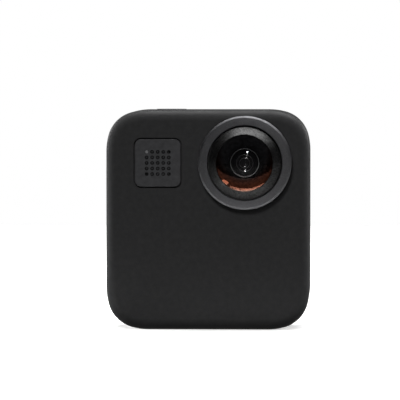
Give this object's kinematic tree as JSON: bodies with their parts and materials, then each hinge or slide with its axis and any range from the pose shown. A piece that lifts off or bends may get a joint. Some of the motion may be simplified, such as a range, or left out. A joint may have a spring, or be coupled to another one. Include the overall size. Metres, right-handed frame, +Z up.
{
  "type": "360 degree camera",
  "caption": "Pocket 360 degree camera with back-to-back dome lenses, microphone grilles, rear touch screen, side door, push buttons and folding mount fingers.",
  "frame": {"origin": "middle of the flat underside that the camera stands on", "axes": "+X to the right as the front is looked at, +Y from the front to the back, +Z up"},
  "size_m": [0.0641, 0.041, 0.0693],
  "materials": {
    "housing_plastic": "fine matt texture, dark grey",
    "ring_metal": "black anodised, satin",
    "retainer_metal": "black anodised, fine turned grain",
    "coated_glass": "polished, copper-tinted coating",
    "lens_glass": "polished, coated",
    "barrel_metal": "matt black inside",
    "frame_metal": "die-cast, bare",
    "finger_metal": "black, lightly textured",
    "steel": "bright",
    "dark_steel": "blackened",
    "seal_rubber": "matt black",
    "button_plastic": "fine matt texture",
    "grille_plastic": "fine matt texture",
    "light_plastic": "clear, frosted",
    "screen_glass": "polished, black backed",
    "display": "black",
    "board": "solder resist",
    "chip": "moulded",
    "sensor": "shiny",
    "contact_gold": "gold plated",
    "battery_case": "thin dark sleeve over the cell",
    "tab_fabric": "woven ribbon",
    "adhesive": "black tape",
    "membrane": "fine mesh",
    "card_plastic": "plain, no print"
  },
  "bodies": {
    "root": {"battery": "battery_case", "battery_contacts": "contact_gold", "battery_pull_tab": "tab_fabric", "battery_tray": "chip", "button_boards": "board", "card_socket": "steel", "chassis": "frame_metal", "cover_gasket": "seal_rubber", "cover_screws": "dark_steel", "display_panel": "display", "door_hinge_pin": "steel", "finger_base": "finger_metal", "finger_base_screws": "dark_steel", "finger_hinge_pins": "steel", "front_dome_lens": "coated_glass", "front_housing": "housing_plastic", "front_image_sensor": "sensor", "front_inner_lenses": "lens_glass", "front_lens_barrel": "barrel_metal", "front_lens_retainer": "retainer_metal", "front_lens_ring": "ring_metal", "front_lens_seal": "seal_rubber", "front_mic_grille": "grille_plastic", "front_mic_membrane": "membrane", "front_second_lens": "lens_glass", "front_sensor_board": "board", "heat_spreader": "frame_metal", "io_board": "board", "main_board": "board", "microphones": "steel", "mode_seal": "seal_rubber", "mode_switch": "steel", "processor": "chip", "rear_cover": "housing_plastic", "rear_dome_lens": "coated_glass", "rear_image_sensor": "sensor", "rear_inner_lenses": "lens_glass", "rear_lens_barrel": "barrel_metal", "rear_lens_retainer": "retainer_metal", "rear_lens_ring": "ring_metal", "rear_lens_seal": "seal_rubber", "rear_mic_grille": "grille_plastic", "rear_mic_membrane": "membrane", "rear_second_lens": "lens_glass", "rear_sensor_board": "board", "screen_adhesive": "adhesive", "screen_glass": "screen_glass", "shutter_seal": "seal_rubber", "shutter_switch": "steel", "speaker": "chip", "status_light_pipe": "light_plastic", "usb_c_socket": "steel"},
    "shutter": {"shutter_button": "button_plastic"},
    "mode": {"mode_button": "button_plastic"},
    "door": {"side_door": "housing_plastic", "door_gasket": "seal_rubber"},
    "latch": {"door_latch": "button_plastic"},
    "card": {"memory_card": "card_plastic"},
    "left_mount_finger": {"left_finger": "finger_metal"},
    "right_mount_finger": {"right_finger": "finger_metal"}
  },
  "joints": [
    {"name": "shutter_press", "type": "slide", "parent": "root", "child": "shutter", "axis": [0, 0, -1], "range_m": [0, 0.0005], "stiffness_N_per_m": 3000, "springref_m": -0.0004},
    {"name": "mode_press", "type": "slide", "parent": "root", "child": "mode", "axis": [-1, 0, 0], "range_m": [0, 0.0005], "stiffness_N_per_m": 3000, "springref_m": -0.0004},
    {"name": "side_door_swing", "type": "hinge", "parent": "root", "child": "door", "pos_m": [-0.0311, 0.006, 0.03413], "axis": [0, 0, -1], "range_deg": [0, 90]},
    {"name": "door_latch_slide", "type": "slide", "parent": "door", "child": "latch", "axis": [0, 0, 1], "range_m": [0, 0.0025], "stiffness_N_per_m": 300, "springref_m": -0.001},
    {"name": "memory_card_press", "type": "slide", "parent": "root", "child": "card", "axis": [1, 0, 0], "range_m": [0, 0.0008], "stiffness_N_per_m": 1500, "springref_m": -0.0003},
    {"name": "left_finger_fold", "type": "hinge", "parent": "root", "child": "left_mount_finger", "pos_m": [-0.0031, 0, 0.0018], "axis": [0, -1, 0], "range_deg": [0, 90]},
    {"name": "right_finger_fold", "type": "hinge", "parent": "root", "child": "right_mount_finger", "pos_m": [0.0031, 0, 0.0018], "axis": [0, 1, 0], "range_deg": [0, 90]}
  ]
}
